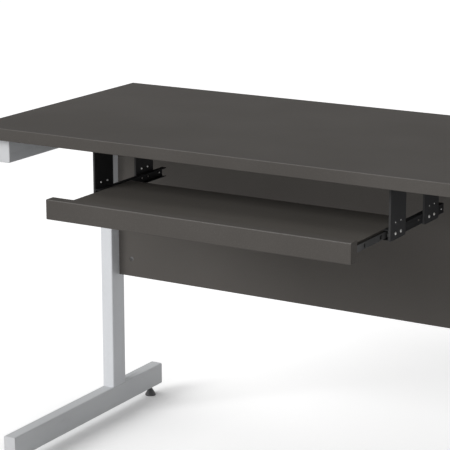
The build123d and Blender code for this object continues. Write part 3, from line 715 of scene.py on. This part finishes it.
def threadRecipe(thread):
    recipe = Recipe("thread", {
        "Diameter": 8 * mm, "Length": 42 * mm, "Pitch": 1.25 * mm, "Depth": 0.6 * mm, "Lead": 1 * mm,
        "Rings": 300,
    })
    given = recipe.given
    rod = recipe.node("GeometryNodeMeshCylinder", {}, {
        "Vertices": thread["sides"], "Side Segments": given("Rings"), "Radius": given("Diameter") / 2,
        "Depth": given("Length"),
    })
    x, y, z = recipe.axes(recipe.node("GeometryNodeInputPosition"))
    turns = z / given("Pitch") - recipe.maths("ARCTAN2", y, x) / math.tau
    groove = recipe.maths("PINGPONG", turns, 0.5) * 2
    fromEnd = given("Length") / 2 - recipe.maths("ABSOLUTE", z)
    groove = recipe.greater(groove, 1 - fromEnd / given("Lead"))
    slim = 1 - groove * given("Depth") * 2 / given("Diameter")
    place = recipe.vector(x * slim, y * slim, z + given("Length") / 2)
    rod = recipe.node("GeometryNodeSetPosition", {}, {"Geometry": rod, "Position": place})
    return recipe.close(recipe.onPoints(rod))


def addStems(thread):
    recipe = threadRecipe(thread)
    for end in ends:
        for side in sides:
            node = f"{end}_{side}_glide_stem"
            low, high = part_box(node)
            length = high[2] - low[2]
            foot = ((low[0] + high[0]) / 2, (low[1] + high[1]) / 2, low[2])
            piece = recipe.grow(f"{end}_{side}_thread", aimedPoints(node, [(foot, (0, 0, 1))]), {
                "Diameter": high[0] - low[0], "Length": length, "Pitch": thread["pitch"],
                "Depth": thread["depth"], "Lead": thread["lead"],
                "Rings": round(length / thread["pitch"] * thread["ringsPerTurn"]),
                "Finish": slotFinishes["dark_steel"],
            })
            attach(piece, f"{end}_{side}_glide")
            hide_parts(node)
    print("threaded stems:", len(ends) * len(sides))


addStems(stemThread)


# weld beads where an upright meets its foot and arm

weldBead = {  # rise: how much a ripple swells the bead; endCurve and endLeast: how its ends narrow
    "radius": 1.9 * mm, "ripple": 2.4 * mm, "rise": 0.13, "cornerClear": 3.0 * mm, "sunk": 0.4 * mm,
    "stepsPerRipple": 8, "sides": 14, "endCurve": 0.3, "endLeast": 0.2,
}


def weldRecipe(weld):
    recipe = Recipe("weld", {"Radius": 2 * mm, "Ripple": 2.4 * mm, "Rise": 0.1})
    given = recipe.given
    path = recipe.node("GeometryNodeMeshToCurve", {}, {"Mesh": given("Geometry")})
    path = recipe.node("GeometryNodeResampleCurve", {"mode": "LENGTH"}, {
        "Curve": path, "Length": given("Ripple") / weld["stepsPerRipple"],
    })
    share = recipe.node("GeometryNodeSplineParameter")
    wave = recipe.maths("SINE", share.also("Length") * math.tau / given("Ripple"))
    ending = (share * (1 - share) * 4) ** weld["endCurve"]
    swell = (1 + wave * given("Rise")) * recipe.greater(ending, weld["endLeast"])
    ring = recipe.node("GeometryNodeCurvePrimitiveCircle", {}, {
        "Resolution": weld["sides"], "Radius": given("Radius"),
    })
    bead = recipe.node("GeometryNodeCurveToMesh", {}, {
        "Curve": path, "Profile Curve": ring, "Scale": swell, "Fill Caps": True,
    })
    return recipe.close(bead)


def addWelds(weld):
    points = []
    for side in sides:
        low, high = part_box(f"{side}_upright")
        for y, way in ((low[1], 1), (high[1], -1)):
            for z, rise in ((low[2], 1), (high[2], -1)):
                for x in (low[0] + weld["cornerClear"], high[0] - weld["cornerClear"]):
                    points.append((x, y + way * weld["sunk"], z - rise * weld["sunk"]))
    mesh = bpy.data.meshes.new("weldLines")
    mesh.from_pydata(points, [(index, index + 1) for index in range(0, len(points), 2)], [])
    bead = weldRecipe(weld).grow("weld_beads", mesh, {
        "Radius": weld["radius"], "Ripple": weld["ripple"], "Rise": weld["rise"], "Finish": framePaint,
    })
    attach(bead, "desk")
    print("weld beads:", len(points) // 2)


addWelds(weldBead)


# camera, light and floor

cameraView = {
    "place": (1.71378, -3.15153, 1.46636), "tilt": 14.2115, "turn": 30.4549, "lens": 145.99, "sensor": 36.0,
}


def addCamera(view):
    data = bpy.data.cameras.new("photoCamera")
    data.sensor_width = view["sensor"]
    data.lens = view["lens"]
    camera = bpy.data.objects.new("photoCamera", data)
    camera.location = view["place"]
    camera.rotation_euler = (math.radians(90 - view["tilt"]), 0, math.radians(view["turn"]))
    bpy.context.scene.collection.objects.link(camera)
    bpy.context.scene.camera = camera


studioLight = {  # azimuth is measured from the front, to the user's right
    "sky": 0.27,  # its light on the desk, while the camera sees it white
    "lamps": {
        "keyLamp": {"strength": 1.52, "azimuth": -25.0, "height": 32.0, "spread": 30.0},
        "fillLamp": {"strength": 0.72, "azimuth": 10.0, "height": 11.0, "spread": 30.0},
        "topLamp": {"strength": 0.30, "azimuth": 0.0, "height": 90.0, "spread": 30.0},
    },
}


def addLight(light):
    for name, setting in light["lamps"].items():
        data = bpy.data.lights.new(name, "SUN")
        data.energy = setting["strength"]
        data.angle = math.radians(setting["spread"])
        lamp = bpy.data.objects.new(name, data)
        lamp.rotation_euler = (math.radians(90 - setting["height"]), 0, math.radians(setting["azimuth"]))
        bpy.context.scene.collection.objects.link(lamp)
    world = bpy.data.worlds.new("studio")
    world.use_nodes = True
    graph = Graph(world.node_tree)
    strength = graph.seen() * (1 - light["sky"]) + light["sky"]
    sky = graph.node("ShaderNodeBackground", {}, {"Color": (1, 1, 1, 1), "Strength": strength})
    graph.node("ShaderNodeOutputWorld", {}, {"Surface": sky})
    bpy.context.scene.world = world


floorLook = {  # the camera sees it whiter than it lights the desk
    "size": 60.0, "colour": (0.86, 0.86, 0.86, 1.0), "seenColour": (1.0, 1.0, 1.0, 1.0),
    "glow": 0.43, "glowReach": 0.25, "glowFade": 2.5, "glowRays": 8,
}


def addFloor(look):
    mesh = bpy.data.meshes.new("floor")
    half = look["size"] / 2
    corners = [(-half, -half, 0), (half, -half, 0), (half, half, 0), (-half, half, 0)]
    mesh.from_pydata(corners, [], [(0, 1, 2, 3)])
    floor = bpy.data.objects.new("floor", mesh)
    bpy.context.scene.collection.objects.link(floor)
    finish = Finish("paleFloor")
    seen = finish.seen()
    colour = finish.between(seen, look["colour"], look["seenColour"])
    plain = finish.node("ShaderNodeBsdfDiffuse", {}, {"Color": colour})
    clear = finish.node("ShaderNodeAmbientOcclusion", {"samples": look["glowRays"]}, {
        "Distance": look["glowReach"],
    }, "AO")
    white = seen * clear ** look["glowFade"]  # the glow fades close to the desk: a painted contact shadow on the floor
    glow = finish.node("ShaderNodeEmission", {}, {"Color": white, "Strength": look["glow"]})
    mesh.materials.append(finish.show(finish.node("ShaderNodeAddShader", {}, {0: plain, 1: glow})))


addCamera(cameraView)
addLight(studioLight)
addFloor(floorLook)
bpy.context.scene.view_settings.view_transform = "Standard"
print("camera, light and floor set")
